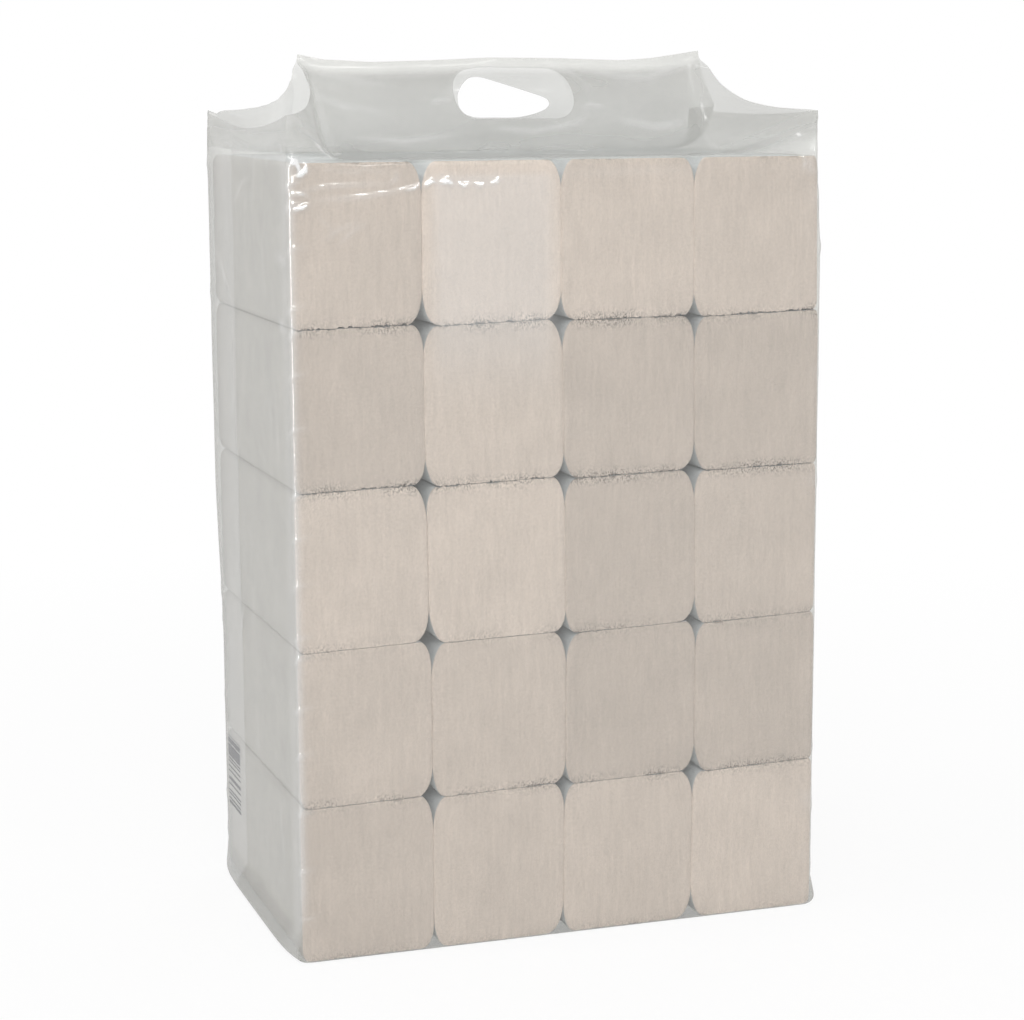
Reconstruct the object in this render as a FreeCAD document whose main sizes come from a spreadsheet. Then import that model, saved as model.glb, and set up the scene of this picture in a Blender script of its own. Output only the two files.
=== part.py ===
import FreeCAD, Part
import os
import Sketcher
from FreeCAD import Vector

# Pack of z-fold paper towels: twenty interfolded bundles, stacked in columns
# and rows with their cut ends to the front, in one clear film carry bag.
#
# Frame: X across the pack, -Y the front with the cut ends, +Z up, and the
# origin in the middle of the base, on the surface that the pack stands on.
# All lengths are millimetres.

doc = FreeCAD.newDocument("towel_pack")

# ---------------------------------------------------------------- sizes

DRIVING_SIZES = (
    # the bundles, seen from the front: stack across, fold to fold upwards
    ("columns", 4),
    ("rows", 5),
    ("bundle_width", 100),          # thickness of the stack of sheets
    ("bundle_depth", 250),          # length of the fold, front to back
    ("bundle_height", 115),         # width of the folded sheet
    ("bundle_corner", 12),          # the outer sheets curl in at the folds
    ("fold_groups", 8),             # valleys between groups of folded edges
    ("fold_pitch", 9.6),
    ("fold_valley_width", 3.6),
    ("fold_valley_depth", 1.3),
    ("clearance", 0.3),             # between bundles, and bundle to film
    # the film bag
    ("film", 0.5),                  # wall of the bag
    ("base_edge_radius", 8),        # film drawn round the bottom side edges
    ("head_rise", 73),              # pack's top to the top of the seam
    ("weld_band", 6),               # height of the top weld
    ("weld_gap", 0.05),             # half gap left where the panels meet
    ("seam_length", 314),
    ("ear_rise", 32.5),              # pack's top to the tips of the ears
    ("ear_reach", 36),              # width over which a panel turns to an ear
    ("ear_fold_inset", 5),          # inside of the sharp fold at an ear
    ("ear_inner_shift", 0.3),       # inside of a flare starts this far along
    ("ear_tip", 4),                 # level stretch at the tip of an ear
    ("shoulder_radius", 45),        # die-cut corners of the head
    ("side_sag", 11),               # dip of the side's free edge
    ("hole_width", 94),             # die-cut hand hole, through both panels
    ("hole_height", 38),
    ("hole_corner", 17),
    ("hole_below_seam", 8),
    ("crease_back", 50),            # creases of the flat tube, from mid-side
    ("crease_width", 3),
    ("crease_height", 0.8),
    ("crease_foot", 24),            # creases fade out above the base
    ("base_weld_width", 10),
    # how far cuts reach beyond what they have to clear
    ("room_overlap", 8),            # the head's inside, down into the tube's
    ("wall_cut", 1.5),              # depth of a cut through one side wall
)

sheet = doc.addObject("Spreadsheet::Sheet", "Sizes")
for row, (alias, value) in enumerate(DRIVING_SIZES, start=1):
    sheet.set(f"A{row}", alias)
    sheet.set(f"B{row}", str(value))
    sheet.setAlias(f"B{row}", alias)
doc.recompute()


# Places that follow from the driving sizes, as expressions.
COLUMN_PITCH = "(Sizes.bundle_width + Sizes.clearance)"
ROW_PITCH = "(Sizes.bundle_height + Sizes.clearance)"
CAVITY_HALF_WIDTH = f"(Sizes.columns * {COLUMN_PITCH} + Sizes.clearance) / 2"
CAVITY_HALF_DEPTH = "(Sizes.bundle_depth / 2 + Sizes.clearance)"
BAG_HALF_WIDTH = f"({CAVITY_HALF_WIDTH} + Sizes.film)"
BAG_HALF_DEPTH = f"({CAVITY_HALF_DEPTH} + Sizes.film)"
BASE_UNDERSIDE = "Sizes.film"                   # the tucks lie below the base
CAVITY_FLOOR = "(2 * Sizes.film)"
CAVITY_TOP = f"({CAVITY_FLOOR} + Sizes.rows * {ROW_PITCH} + Sizes.clearance)"
SHOULDER = f"({CAVITY_TOP} + Sizes.film)"
SEAM_TOP = f"({SHOULDER} + Sizes.head_rise)"
WELD_FOOT = f"({SEAM_TOP} - Sizes.weld_band)"
EAR_TIP = f"({SHOULDER} + Sizes.ear_rise)"
SIDE_EDGE = f"({EAR_TIP} - Sizes.side_sag)"
THROUGH_PANELS = f"4 * {BAG_HALF_DEPTH}"        # a cut this long clears both

# Each head panel lies level on the pack's top, then climbs in a quarter
# circle to the weld, where it stands upright. At the ears the same film
# stands upright all the way, so its level run ends at EAR_BEND.
PANEL_RADIUS = f"({WELD_FOOT} - {SHOULDER})"
PANEL_FOOT = f"({PANEL_RADIUS} + Sizes.film)"   # from the middle to the arc
INNER_RADIUS = f"({PANEL_RADIUS} + Sizes.film)"
LEVEL_RUN = f"({BAG_HALF_DEPTH} - {PANEL_FOOT})"
PANEL_LENGTH = f"({LEVEL_RUN} + pi / 2 * {PANEL_RADIUS})"
EAR_BEND = f"({SHOULDER} + {PANEL_RADIUS} * {LEVEL_RUN} / {PANEL_LENGTH})"

# ---------------------------------------------------------------- helpers


def origin_feature(body, role):
    """A plane or an axis of the body's own origin."""
    for feature in body.Origin.OriginFeatures:
        if feature.Role == role:
            return feature
    raise ValueError(f"{body.Name} has no {role}")


def number(owner, expression):
    """What an expression comes to, as a plain number."""
    value = owner.evalExpression(expression)
    return float(getattr(value, "Value", value))


def add_sketch(body, name, plane, offset=None):
    """A sketch on one of the body's origin planes, or set off from it."""
    sketch = body.newObject("Sketcher::SketchObject", name)
    sketch.AttachmentSupport = [(origin_feature(body, plane), "")]
    sketch.MapMode = "FlatFace"
    if offset:
        sketch.setExpression("AttachmentOffset.Base.z", offset)
    return sketch


def arc_edge(start, end, radius):
    """The short arc from start to end that turns to the left."""
    chord = end - start
    half = chord.Length / 2
    radius = max(radius, half)
    left = Vector(-chord.y, chord.x, 0).normalize()
    centre = (start + end) / 2 + left * (radius ** 2 - half ** 2) ** 0.5
    middle = centre - left * radius
    return Part.Arc(start, middle, end)


def pin(sketch, edge, end, x, y):
    """Holds one end of an edge at a place given by two expressions."""
    for kind, place in (("DistanceX", x), ("DistanceY", y)):
        value = number(sketch, place)
        constraint = Sketcher.Constraint(kind, -1, 1, edge, end, value)
        index = sketch.addConstraint(constraint)
        sketch.setExpression(f"Constraints[{index}]", place)


def draw_outline(sketch, corners):
    """A closed outline. Each corner is (x, y) or (x, y, radius), in
    expressions; with a radius, the edge to the next corner is an arc."""
    points = [Vector(number(sketch, c[0]), number(sketch, c[1]), 0) for c in corners]
    first = sketch.GeometryCount
    ends = []
    for place, corner in enumerate(corners):
        start = points[place]
        end = points[(place + 1) % len(points)]
        if len(corner) == 3:
            edge = arc_edge(start, end, number(sketch, corner[2]))
            forward = edge.StartPoint.isEqual(start, 1e-6)
        else:
            edge = Part.LineSegment(start, end)
            forward = True
        sketch.addGeometry(edge, False)
        ends.append((1, 2) if forward else (2, 1))
    for place, corner in enumerate(corners):
        edge = first + place
        after = (place + 1) % len(corners)
        joint = Sketcher.Constraint("Coincident", edge, ends[place][1], first + after, ends[after][0])
        sketch.addConstraint(joint)
        pin(sketch, edge, ends[place][0], corner[0], corner[1])
        if len(corner) == 3:
            value = number(sketch, corner[2])
            index = sketch.addConstraint(Sketcher.Constraint("Radius", edge, value))
            sketch.setExpression(f"Constraints[{index}]", corner[2])


def draw_circle(sketch, x, y, radius):
    """A circle whose centre and radius are given by expressions."""
    centre = Vector(number(sketch, x), number(sketch, y), 0)
    circle = Part.Circle(centre, Vector(0, 0, 1), number(sketch, radius))
    edge = sketch.addGeometry(circle, False)
    pin(sketch, edge, 3, x, y)
    index = sketch.addConstraint(Sketcher.Constraint("Radius", edge, circle.Radius))
    sketch.setExpression(f"Constraints[{index}]", radius)


def extrude(body, kind, name, sketch, length, side="Symmetric", reverse=False):
    """A Pad or a Pocket of a sketch, to a length given by an expression."""
    feature = body.newObject(f"PartDesign::{kind}", name)
    feature.Profile = sketch
    feature.SideType = side
    feature.Reversed = reverse
    feature.setExpression("Length", length)
    sketch.Visibility = False
    return feature


def loft(body, kind, name, near, far):
    """A ruled loft between two sketches."""
    feature = body.newObject(f"PartDesign::{kind}", name)
    feature.Profile = near
    feature.Sections = [far]
    feature.Ruled = True
    return feature


def mirror(body, name, original):
    """The same feature on the other side of the pack."""
    feature = body.newObject("PartDesign::Mirrored", name)
    feature.Originals = [original]
    feature.MirrorPlane = (origin_feature(body, "YZ_Plane"), [""])
    body.Tip = feature
    return feature


def minus(expression):
    return f"-({expression})"


# ---------------------------------------------------------------- bundles


def rounded_rectangle(width, height, radius, y="0"):
    """Corners for draw_outline, anticlockwise round the middle (0, y)."""
    flat_w, flat_h = f"({width} / 2 - {radius})", f"({height} / 2 - {radius})"
    return [
        (minus(flat_w), f"{y} - {height} / 2"),
        (flat_w, f"{y} - {height} / 2", radius),
        (f"{width} / 2", f"{y} - {flat_h}"),
        (f"{width} / 2", f"{y} + {flat_h}", radius),
        (flat_w, f"{y} + {height} / 2"),
        (minus(flat_w), f"{y} + {height} / 2", radius),
        (f"-{width} / 2", f"{y} + {flat_h}"),
        (f"-{width} / 2", f"{y} - {flat_h}", radius),
    ]


def fold_valley(x, edge, inwards):
    """A vee at a folded edge, between two groups of sheets."""
    half = "Sizes.fold_valley_width / 2"
    over = f"({edge} - {inwards} * Sizes.clearance)"
    foot = f"({edge} + {inwards} * Sizes.fold_valley_depth)"
    corners = [(f"{x} - {half}", over), (f"{x} + {half}", over), (x, foot)]
    return corners if inwards > 0 else corners[::-1]


def towel_bundle(name, column, row):
    """One bundle: its cut end is the sketch, and the folds run along Y.
    Columns count from the left, rows from the top."""
    body = doc.addObject("PartDesign::Body", name)
    body.Label = name
    half_height = "(Sizes.bundle_height / 2)"

    end = add_sketch(body, f"{name}_cut_end", "XZ_Plane")
    draw_outline(end, rounded_rectangle("Sizes.bundle_width", "Sizes.bundle_height", "Sizes.bundle_corner"))
    extrude(body, "Pad", f"{name}_stack", end, "Sizes.bundle_depth")

    first_valley = "(-(Sizes.fold_groups - 1) / 2 * Sizes.fold_pitch)"
    vees = add_sketch(body, f"{name}_vees", "XZ_Plane")
    draw_outline(vees, fold_valley(first_valley, minus(half_height), 1))
    draw_outline(vees, fold_valley(first_valley, half_height, -1))
    valley = extrude(body, "Pocket", f"{name}_valley", vees, "Sizes.bundle_depth + 2 * Sizes.clearance")

    pattern = body.newObject("PartDesign::LinearPattern", f"{name}_valleys")
    pattern.Originals = [valley]
    pattern.Direction = (origin_feature(body, "X_Axis"), [""])
    pattern.Mode = "Extent"
    pattern.setExpression("Length", "(Sizes.fold_groups - 1) * Sizes.fold_pitch")
    pattern.setExpression("Occurrences", "Sizes.fold_groups")
    body.Tip = pattern

    across = f"({column} - (Sizes.columns - 1) / 2) * {COLUMN_PITCH}"
    floor = f"{CAVITY_FLOOR} + Sizes.clearance"
    up = f"{floor} + (Sizes.rows - {row} - 1) * {ROW_PITCH} + Sizes.bundle_height / 2"
    body.setExpression("Placement.Base.x", across)
    body.setExpression("Placement.Base.z", up)
    return body


# ---------------------------------------------------------------- the bag


def tube_outline(half_width, bottom, top, radius):
    """The film tube from the front: round bottom edges, square top."""
    flat = f"({half_width} - {radius})"
    above = f"({bottom} + {radius})"
    return [
        (minus(flat), bottom),
        (flat, bottom, radius),
        (half_width, above),
        (half_width, top),
        (minus(half_width), top),
        (minus(half_width), above, radius),
    ]


def tent_outline():
    """The head's outside, from the side: two panels rising to the weld."""
    return [
        (minus(BAG_HALF_DEPTH), SHOULDER),
        (minus(PANEL_FOOT), SHOULDER, PANEL_RADIUS),
        (minus("Sizes.film"), WELD_FOOT),
        (minus("Sizes.film"), SEAM_TOP),
        ("Sizes.film", SEAM_TOP),
        ("Sizes.film", WELD_FOOT, PANEL_RADIUS),
        (PANEL_FOOT, SHOULDER),
        (BAG_HALF_DEPTH, SHOULDER),
    ]


def ear_outline():
    """The same edges at the side wall, where both panels stand upright."""
    return [
        (minus(BAG_HALF_DEPTH), SHOULDER),
        (minus(BAG_HALF_DEPTH), EAR_BEND),
        (minus(BAG_HALF_DEPTH), WELD_FOOT),
        (minus(BAG_HALF_DEPTH), SEAM_TOP),
        (BAG_HALF_DEPTH, SEAM_TOP),
        (BAG_HALF_DEPTH, WELD_FOOT),
        (BAG_HALF_DEPTH, EAR_BEND),
        (BAG_HALF_DEPTH, SHOULDER),
    ]


def tent_cavity_outline():
    """The head's inside, one film thickness in, down into the tube."""
    reach = f"({PANEL_FOOT} - Sizes.weld_gap)"
    apex = f"({WELD_FOOT} - sqrt({INNER_RADIUS} ^ 2 - {reach} ^ 2))"
    below = f"({CAVITY_TOP} - Sizes.room_overlap)"
    return [
        (minus(CAVITY_HALF_DEPTH), below),
        (minus(CAVITY_HALF_DEPTH), CAVITY_TOP),
        (minus(PANEL_FOOT), CAVITY_TOP, INNER_RADIUS),
        (minus("Sizes.weld_gap"), apex),
        ("Sizes.weld_gap", apex, INNER_RADIUS),
        (PANEL_FOOT, CAVITY_TOP),
        (CAVITY_HALF_DEPTH, CAVITY_TOP),
        (CAVITY_HALF_DEPTH, below),
    ]


def ear_cavity_outline():
    """The inside at the side wall: the fold at an ear closes upwards."""
    below = f"({CAVITY_TOP} - Sizes.room_overlap)"
    inset = f"({CAVITY_HALF_DEPTH} - Sizes.ear_fold_inset)"
    bend = f"({CAVITY_HALF_DEPTH} - Sizes.ear_fold_inset * ({EAR_BEND} - {SHOULDER}) / {PANEL_RADIUS})"
    return [
        (minus(CAVITY_HALF_DEPTH), below),
        (minus(CAVITY_HALF_DEPTH), CAVITY_TOP),
        (minus(bend), EAR_BEND),
        (minus(inset), WELD_FOOT),
        (inset, WELD_FOOT),
        (bend, EAR_BEND),
        (CAVITY_HALF_DEPTH, CAVITY_TOP),
        (CAVITY_HALF_DEPTH, below),
    ]


def carry_bag():
    """The film bag, as one solid: tube, folded base, head with ears."""
    bag = doc.addObject("PartDesign::Body", "carry_bag")
    bag.Label = "carry_bag"
    flare_start = f"({BAG_HALF_WIDTH} - Sizes.ear_reach)"
    inner_start = f"({flare_start} + Sizes.ear_inner_shift)"

    # outside: the tube, the tent over it and the two flared ends
    tube = add_sketch(bag, "tube_outside", "XZ_Plane")
    draw_outline(tube, tube_outline(BAG_HALF_WIDTH, BASE_UNDERSIDE, SHOULDER, "Sizes.base_edge_radius"))
    extrude(bag, "Pad", "tube", tube, f"2 * {BAG_HALF_DEPTH}")

    tent = add_sketch(bag, "tent_outside", "YZ_Plane")
    draw_outline(tent, tent_outline())
    extrude(bag, "Pad", "tent", tent, f"2 * {flare_start}")

    near = add_sketch(bag, "ear_near_outside", "YZ_Plane", flare_start)
    draw_outline(near, tent_outline())
    far = add_sketch(bag, "ear_far_outside", "YZ_Plane", BAG_HALF_WIDTH)
    draw_outline(far, ear_outline())
    mirror(bag, "ears_left", loft(bag, "AdditiveLoft", "ears_right", near, far))

    # inside: the same three forms, one film thickness in
    room = add_sketch(bag, "tube_inside", "XZ_Plane")
    inner_radius = "(Sizes.base_edge_radius - Sizes.film)"
    draw_outline(room, tube_outline(CAVITY_HALF_WIDTH, CAVITY_FLOOR, CAVITY_TOP, inner_radius))
    extrude(bag, "Pocket", "tube_room", room, f"2 * {CAVITY_HALF_DEPTH}")

    room = add_sketch(bag, "tent_inside", "YZ_Plane")
    draw_outline(room, tent_cavity_outline())
    extrude(bag, "Pocket", "tent_room", room, f"2 * {inner_start}")

    near = add_sketch(bag, "ear_near_inside", "YZ_Plane", inner_start)
    draw_outline(near, tent_cavity_outline())
    far = add_sketch(bag, "ear_far_inside", "YZ_Plane", CAVITY_HALF_WIDTH)
    draw_outline(far, ear_cavity_outline())
    mirror(bag, "ear_rooms_left", loft(bag, "SubtractiveLoft", "ear_rooms_right", near, far))

    # die-cut shoulders: they open the bag beside the seam, down to the ears
    shoulder = add_sketch(bag, "shoulder_die", "XZ_Plane")
    centre_x = "(Sizes.seam_length / 2 + Sizes.shoulder_radius)"
    centre_z = f"({EAR_TIP} + Sizes.shoulder_radius)"
    draw_circle(shoulder, centre_x, centre_z, "Sizes.shoulder_radius")
    cut = extrude(bag, "Pocket", "shoulder_right", shoulder, THROUGH_PANELS)
    mirror(bag, "shoulder_left", cut)

    # the free edge of each side dips between its two ears
    dip = add_sketch(bag, "side_dip", "YZ_Plane", BAG_HALF_WIDTH)
    half = f"({BAG_HALF_DEPTH} - Sizes.ear_tip)"
    dip_radius = f"(({half} ^ 2 + Sizes.side_sag ^ 2) / (2 * Sizes.side_sag))"
    above = f"({EAR_TIP} + Sizes.side_sag)"
    draw_outline(dip, [
        (minus(half), EAR_TIP, dip_radius),
        (half, EAR_TIP),
        (half, above),
        (minus(half), above),
    ])
    cut = extrude(bag, "Pocket", "side_dip_right", dip, "Sizes.wall_cut", "One side")
    mirror(bag, "side_dip_left", cut)

    # hand hole through both panels, close under the weld
    hole = add_sketch(bag, "hand_hole_die", "XZ_Plane")
    middle = f"({SEAM_TOP} - Sizes.hole_below_seam - Sizes.hole_height / 2)"
    width, height, corner = "Sizes.hole_width", "Sizes.hole_height", "Sizes.hole_corner"
    draw_outline(hole, rounded_rectangle(width, height, corner, middle))
    extrude(bag, "Pocket", "hand_hole", hole, THROUGH_PANELS)

    # under the base: the side tucks, folded flat, and the weld between them
    edge = f"({BAG_HALF_WIDTH} - Sizes.base_edge_radius)"
    point = f"({edge} - {BAG_HALF_DEPTH})"
    tuck = add_sketch(bag, "tuck_outline", "XY_Plane")
    draw_outline(tuck, [(edge, minus(BAG_HALF_DEPTH)), (edge, BAG_HALF_DEPTH), (point, "0")])
    mirror(bag, "tuck_left", extrude(bag, "Pad", "tuck_right", tuck, BASE_UNDERSIDE, "One side"))

    weld = add_sketch(bag, "base_weld_outline", "XY_Plane")
    end_x = f"({point} + Sizes.base_weld_width)"
    side_y = "(Sizes.base_weld_width / 2)"
    draw_outline(weld, [
        (minus(end_x), minus(side_y)),
        (end_x, minus(side_y)),
        (end_x, side_y),
        (minus(end_x), side_y),
    ])
    extrude(bag, "Pad", "base_weld", weld, BASE_UNDERSIDE, "One side")

    # the creases that the flat tube keeps down its two sides
    crease = add_sketch(bag, "crease_section", "XY_Plane", "Sizes.crease_foot")
    draw_outline(crease, [
        (BAG_HALF_WIDTH, "Sizes.crease_back - Sizes.crease_width / 2"),
        (f"{BAG_HALF_WIDTH} + Sizes.crease_height", "Sizes.crease_back"),
        (BAG_HALF_WIDTH, "Sizes.crease_back + Sizes.crease_width / 2"),
    ])
    length = f"{SIDE_EDGE} - Sizes.crease_foot - Sizes.crease_foot"
    mirror(bag, "crease_left", extrude(bag, "Pad", "crease_right", crease, length, "One side"))
    return bag


# ---------------------------------------------------------------- the pack

sub_parts = []
for row in range(int(sheet.rows)):
    for column in range(int(sheet.columns)):
        sub_parts.append(towel_bundle(f"bundle_r{row + 1}c{column + 1}", column, row))
sub_parts.append(carry_bag())
doc.recompute()

for item in doc.Objects:
    if "Invalid" in item.State or "Error" in item.State:
        raise RuntimeError(f"{item.Name} failed: {item.State}")
for part in sub_parts:
    if part.Shape.isNull() or not part.Shape.isValid():
        raise RuntimeError(f"{part.Label} has no valid shape")

os.makedirs("parts", exist_ok=True)
for part in sub_parts:
    part.Shape.exportStep(os.path.join("parts", f"{part.Label}.step"))
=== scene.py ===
import math
import random

import bmesh
import bpy
import numpy as np
from mathutils import Matrix, Vector, noise
from mathutils.geometry import delaunay_2d_cdt


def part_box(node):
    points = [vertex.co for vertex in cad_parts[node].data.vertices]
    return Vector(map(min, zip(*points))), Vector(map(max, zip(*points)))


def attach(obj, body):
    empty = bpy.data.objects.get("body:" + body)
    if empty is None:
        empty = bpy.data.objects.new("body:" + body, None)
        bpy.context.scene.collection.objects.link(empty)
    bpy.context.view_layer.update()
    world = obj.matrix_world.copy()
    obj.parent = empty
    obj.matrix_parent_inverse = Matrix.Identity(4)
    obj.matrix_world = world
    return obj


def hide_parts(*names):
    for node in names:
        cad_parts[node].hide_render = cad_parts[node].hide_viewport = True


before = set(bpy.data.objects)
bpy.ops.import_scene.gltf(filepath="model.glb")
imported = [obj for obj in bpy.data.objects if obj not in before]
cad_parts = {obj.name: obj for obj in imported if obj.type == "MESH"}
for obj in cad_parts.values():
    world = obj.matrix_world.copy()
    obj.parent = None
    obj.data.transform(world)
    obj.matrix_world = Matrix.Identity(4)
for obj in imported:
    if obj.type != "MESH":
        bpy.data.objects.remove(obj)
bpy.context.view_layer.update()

# Pack of z-fold paper towels: twenty bundles of interfolded sheets in a clear
# film carry bag. Sizes here are millimetres, and MM turns them into metres.

MM = 0.001
COLUMNS = 4
ROWS = 5


def deselect_all():
    """Leaves nothing selected and nothing active."""
    for item in bpy.context.selected_objects:
        item.select_set(False)
    bpy.context.view_layer.objects.active = None


def node_box(name):
    """Lowest and highest corner of a CAD node, in millimetres."""
    low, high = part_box(name)
    return low / MM, high / MM


def smooth_step(low, high, value):
    """0 below low, 1 above high and a soft turn between, for arrays."""
    share = np.clip((value - low) / (high - low), 0.0, 1.0)
    return share * share * (3.0 - 2.0 * share)


def hump(value, middle, width):
    """1 at middle, with a soft fall to 0 on both sides of it, for arrays."""
    return np.exp(-((value - middle) / width) ** 2)


deselect_all()

# ---------------------------------------------------------------- bundles

STRIPS = 88             # groups of sheets that show across a cut end
LEVELS = 28             # from the lower folds to the upper folds
CORNER_ACROSS = 9.3     # the outer sheets curl in over the folds
CORNER_UP = 23.0
OUTER_CORNER = 0.5      # less so where the film holds the pack's own corners
ROOM = 0.25             # how far a bundle may bulge towards its neighbours
END_BREAKS = (0.006, 0.03, 0.5, 0.97, 0.994)    # cuts along the depth
ON_CUT = 0.99           # beyond this share of the depth lies a cut end
FOLDS_BACK = 0.8        # how far a cut end lies back at its folds
SHEETS_BACK = 0.9       # and at its outer sheets
CUT_RAGGED = 0.25       # how unevenly the sheets end
FOLD_GROUPS = 14        # groups of folded edges across a bundle

# The lines between the rows, from the top of the pack to its foot: how
# raggedly the folds lie there, and how far they rise to the right.
LINE_RAGGED = (0.5, 2.0, 1.7, 0.6, 0.9, 0.4)
UNDER_LINE = 0.6        # the bundles under a line are less ragged, by this
RAGGED_GAP = 0.05       # and all keep clear of it by this share
LINE_LEAN = (
    (0.0, 0.0, 0.0, 0.0),
    (0.014, 0.026, 0.004, 0.024),
    (0.022, 0.024, 0.022, 0.014),
    (0.026, 0.020, 0.026, 0.030),
    (0.018, 0.024, 0.018, 0.024),
    (0.0, 0.0, 0.0, 0.0),
)
# How far the upright lines between the columns have slid at each of those.
COLUMN_SLIDE = (
    (0.0, 0.0, 0.0, 0.0, 0.0, 0.0),
    (-4.5, -4.5, -3.5, -1.0, -0.5, -0.5),
    (-1.0, 0.0, 1.5, 3.0, 2.0, 0.0),
    (2.0, 3.0, 4.0, 6.0, 5.0, 3.0),
    (0.0, 2.6, 3.2, 3.2, 3.0, 2.7),
)
PAPER = (0.67, 0.585, 0.525)            # the sheets' cut ends
RIM_PALE = 1.12                         # paler along the outer sheets
OUTER_SHEET = (0.60, 0.575, 0.545)      # the pack's smooth outer sheets
CURLED_SHEET = (0.76, 0.785, 0.80)      # the folds and the inner sheets
# How light each bundle's paper is, which differs at random; the second bundle
# of the top row is lighter partly as a painted reflection of the light that
# the film over it throws back.
TONES = (
    (1.00, 1.19, 1.05, 1.02),
    (0.92, 1.06, 0.92, 0.91),
    (1.06, 1.08, 0.92, 0.97),
    (1.00, 0.99, 0.91, 0.92),
    (0.96, 1.02, 1.03, 1.09),
)


def paper_block():
    """The towel block that every bundle starts from: a cube two metres wide,
    cut into strips and levels, that shape_bundle sets to size."""
    bpy.ops.mesh.primitive_grid_add(
        x_subdivisions=STRIPS, y_subdivisions=LEVELS, size=2,
        location=(0, -1, 0), rotation=(math.pi / 2, 0, 0),
    )
    block = bpy.context.object
    bpy.ops.object.transform_apply(location=True, rotation=True, scale=True)
    bpy.ops.object.mode_set(mode="EDIT")
    bpy.ops.mesh.select_all(action="SELECT")
    bpy.ops.mesh.extrude_region_move(TRANSFORM_OT_translate={"value": (0, 2, 0)})
    for share in END_BREAKS:
        bpy.ops.mesh.select_all(action="SELECT")
        bpy.ops.mesh.bisect(plane_co=(0, 2 * share - 1, 0), plane_no=(0, 1, 0))
    bpy.ops.mesh.select_all(action="SELECT")
    bpy.ops.mesh.normals_make_consistent(inside=False)
    bpy.ops.object.mode_set(mode="OBJECT")
    return block


def ragged_edge(draw, size):
    """Heights of the folded edges across a bundle: groups, and single folds."""
    groups = [draw.uniform(-1, 1) for _ in range(FOLD_GROUPS)]
    heights = []
    for strip in range(STRIPS + 1):
        place = strip / STRIPS * (FOLD_GROUPS - 1)
        group = int(place)
        after = min(group + 1, FOLD_GROUPS - 1)
        share = place - group
        level = groups[group] * (1 - share) + groups[after] * share
        heights.append(size * (0.45 * level + 0.55 * draw.uniform(-1, 1)))
    return heights


def sheet_colour(row, column, across, deep):
    """The paper's colour at a point: on a cut end, or on its folds and sheets,
    which are duller on the pack's own outside."""
    if abs(deep) > ON_CUT:
        tone = TONES[row - 1][column - 1]
        pale = RIM_PALE if abs(across) > 0.98 else 1.0
        return [part * tone * pale for part in PAPER]
    outward = -across if column == 1 else across if column == COLUMNS else 0.0
    share = smooth_step(0.82, 1.0, outward)
    return [a + (b - a) * share for a, b in zip(CURLED_SHEET, OUTER_SHEET)]


def shape_bundle(bundle, row, column):
    """Sets a block's points to one bundle's size and place, uneven as
    stacked paper is, and notes where its folds and cut ends are."""
    draw = random.Random(10 * row + column)
    low, high = node_box(f"bundle_r{row}c{column}")
    middle = (low + high) / 2
    half_w, half_d, half_h = (high - low) / 2
    above, below = LINE_RAGGED[row - 1] * UNDER_LINE, LINE_RAGGED[row]
    upper, lower = ragged_edge(draw, above), ragged_edge(draw, below)
    rise, fall = LINE_LEAN[row - 1][column - 1], LINE_LEAN[row][column - 1]
    slid_left, slid_right = COLUMN_SLIDE[column - 1], COLUMN_SLIDE[column]
    bulge = draw.uniform(0.15, 0.5)
    twist = draw.uniform(-0.003, 0.003)
    pulls = [draw.uniform(0.75, 1.25) for _ in range(4)]
    if column == 1:
        pulls[:2] = [pull * OUTER_CORNER for pull in pulls[:2]]
    if column == COLUMNS:
        pulls[2:] = [pull * OUTER_CORNER / 2 for pull in pulls[2:]]
    mesh = bundle.data
    kinds = {"fold": "FLOAT", "cut": "FLOAT", "fray": "FLOAT", "tint": "FLOAT_COLOR"}
    for name, kind in kinds.items():
        mesh.attributes.new(name, kind, "POINT")
    fold, cut, fray, tint = (mesh.attributes[name].data for name in kinds)
    for index, point in enumerate(mesh.vertices):
        across, deep, up = point.co
        level = math.sin(up * math.pi / 2)
        pull = pulls[2 * (across > 0) + (level > 0)]
        from_corner = max(0.0, abs(level) * half_h - (half_h - CORNER_UP * pull))
        bend = math.sqrt(max(0.0, 1.0 - (from_corner / (CORNER_UP * pull)) ** 2))
        reach = half_w - CORNER_ACROSS * pull * (1.0 - bend)
        reach += bulge * (1.0 - level * level)
        x = across * reach
        z = level * half_h
        edge = smooth_step(0.80, 1.0, abs(level))
        strip = int(round((across + 1) / 2 * STRIPS))
        if level > 0:
            ragged = min(0.0, upper[strip] - RAGGED_GAP * above)
        else:
            ragged = max(0.0, lower[strip] + RAGGED_GAP * below)
        lean = rise if level > 0 else fall
        z += edge * (ragged + lean * x)
        side = smooth_step(0.93, 1.0, abs(across))
        y = deep * (half_d - FOLDS_BACK * edge ** 2 - SHEETS_BACK * side ** 2)
        x = min(max(x + twist * y, -half_w - ROOM), half_w + ROOM)
        share = (up + 1) / 2
        slide_left, slide_right = (
            slid[row] + (slid[row - 1] - slid[row]) * share for slid in (slid_left, slid_right))
        x += slide_left + (slide_right - slide_left) * (across + 1) / 2
        if abs(deep) > ON_CUT:
            y -= math.copysign(CUT_RAGGED * draw.random(), deep)
            cut[index].value = 1.0
        point.co = Vector((middle.x + x, middle.y + y, middle.z + z)) * MM
        fold[index].value = level
        fray[index].value = above if level > 0 else below
        tint[index].color = (*sheet_colour(row, column, across, deep), 1.0)
    mesh.update()


# ------------------------------------------------------------- film bag

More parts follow.
